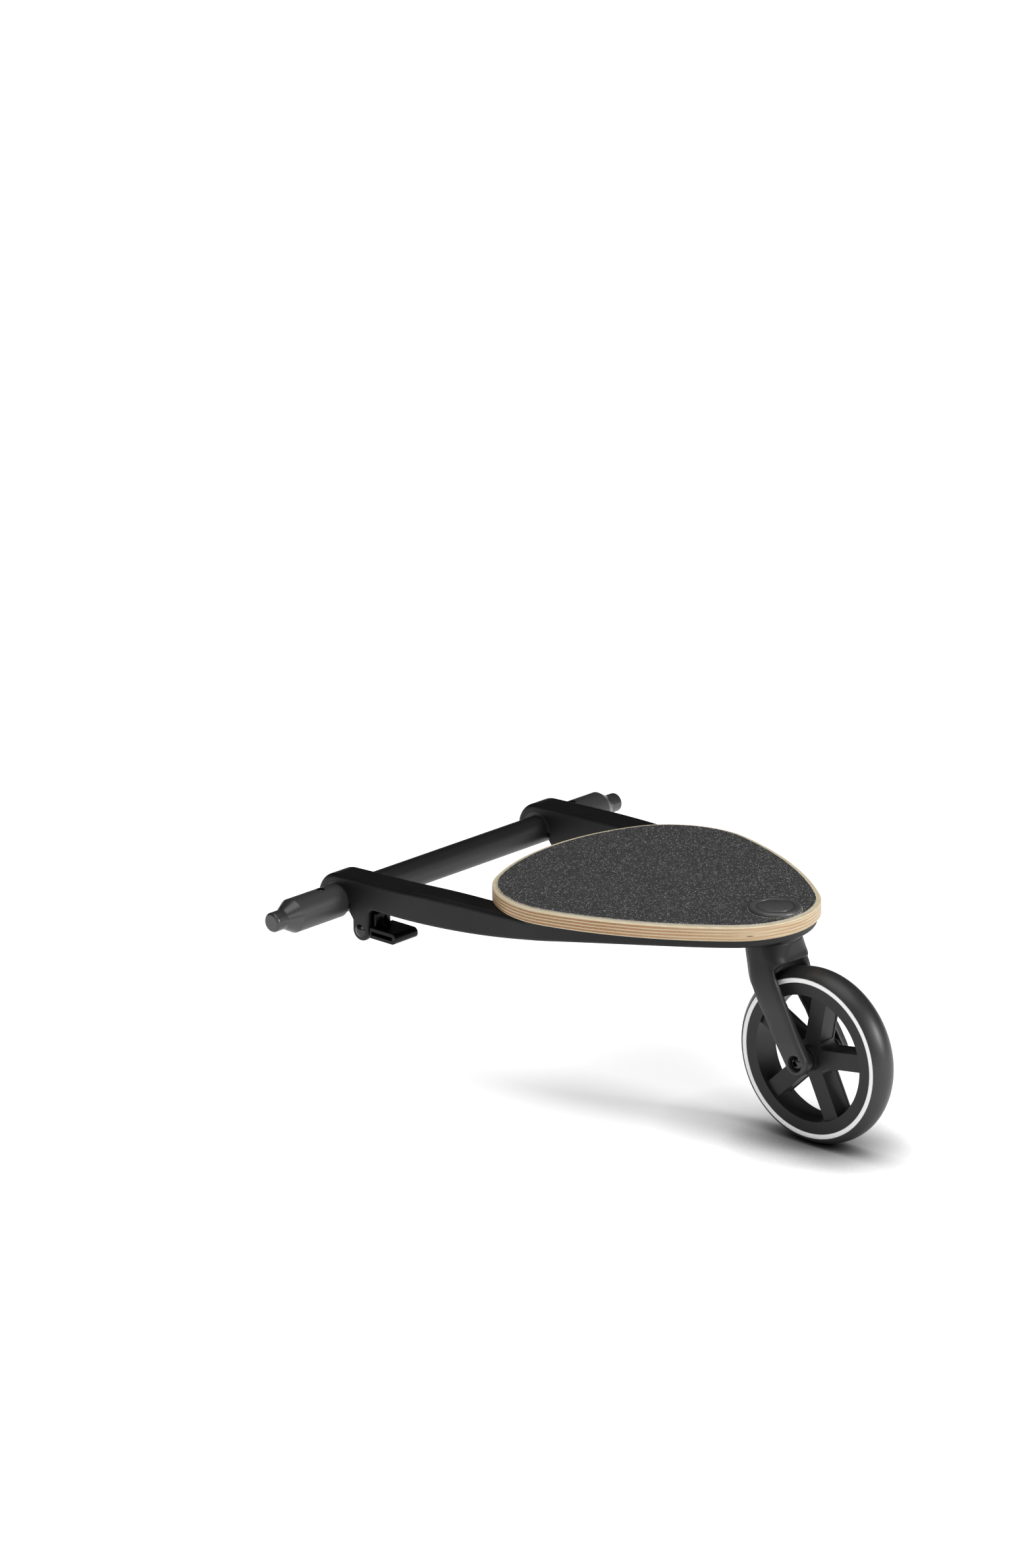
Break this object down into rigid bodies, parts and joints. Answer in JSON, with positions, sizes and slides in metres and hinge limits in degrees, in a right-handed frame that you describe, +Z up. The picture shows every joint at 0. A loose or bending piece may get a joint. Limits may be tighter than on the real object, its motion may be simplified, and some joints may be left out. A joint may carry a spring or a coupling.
{
  "type": "buggy board",
  "caption": "Ride-on board with a plywood deck on a forked frame that hooks over a round cross bar with sprung latches, and a swivelling caster wheel under its rear tip.",
  "frame": {"origin": "on the floor under the middle of the object's box", "axes": "+X along the cross bar to the right, +Y forward from the caster to the bar, +Z up"},
  "size_m": [0.439, 0.5066, 0.1934],
  "materials": {
    "black_paint": "satin powder coat",
    "bar_plug": "satin moulding",
    "moulded_black": "fine moulded grain",
    "wheel_black": "satin moulding",
    "liner": "smooth bearing plastic",
    "plywood": "clear-lacquered birch plies",
    "grip": "sanded grip with bright specks",
    "cap": "satin moulding",
    "black_steel": "blackened steel",
    "steel": "zinc plated",
    "tyre": "smooth solid rubber",
    "reflective": "pale retroreflective"
  },
  "bodies": {
    "bar": {"cross_bar": "black_paint", "bar_sleeve_left": "black_paint", "bar_sleeve_right": "black_paint", "bar_plug_left": "bar_plug", "bar_plug_right": "bar_plug", "sleeve_screws": "black_steel"},
    "board": {"frame": "moulded_black", "hub_liner_left": "liner", "hub_liner_right": "liner", "latch_pin_left": "black_steel", "latch_pin_right": "black_steel", "deck": "plywood", "grip_sheet": "grip", "pivot_cap": "cap", "deck_screws": "steel", "swivel_bush_lower": "liner", "swivel_bush_upper": "liner"},
    "latch_left": {"latch_lever_left": "moulded_black", "latch_spring_left": "steel"},
    "latch_right": {"latch_lever_right": "moulded_black", "latch_spring_right": "steel"},
    "caster": {"fork": "moulded_black", "swivel_stem": "steel", "thrust_washer": "liner", "stem_washer": "steel", "stem_clip": "steel", "axle_bolt": "black_steel", "axle_nut": "steel", "axle_spacer_left": "moulded_black", "axle_spacer_right": "moulded_black"},
    "wheel": {"wheel_rim": "wheel_black", "tyre": "tyre", "reflector_left": "reflective", "reflector_right": "reflective", "wheel_bearing_left": "steel", "wheel_bearing_right": "steel"}
  },
  "joints": [
    {"name": "board_tilt", "type": "hinge", "parent": "bar", "child": "board", "pos_m": [0, 0.2303, 0.15], "axis": [-1, 0, 0], "range_deg": [-8, 75]},
    {"name": "latch_left_press", "type": "hinge", "parent": "board", "child": "latch_left", "pos_m": [-0.12675, 0.2033, 0.1288], "axis": [1, 0, 0], "range_deg": [0, 24], "stiffness_Nm_per_rad": 0.25, "springref_deg": -17.19},
    {"name": "latch_right_press", "type": "hinge", "parent": "board", "child": "latch_right", "pos_m": [0.12675, 0.2033, 0.1288], "axis": [1, 0, 0], "range_deg": [0, 24], "stiffness_Nm_per_rad": 0.25, "springref_deg": -17.19},
    {"name": "caster_swivel", "type": "hinge", "parent": "board", "child": "caster", "pos_m": [0, -0.1317, 0.168], "axis": [0, 0, 1], "continuous": true},
    {"name": "wheel_spin", "type": "hinge", "parent": "caster", "child": "wheel", "pos_m": [0, -0.1783, 0.075], "axis": [1, 0, 0], "continuous": true}
  ]
}
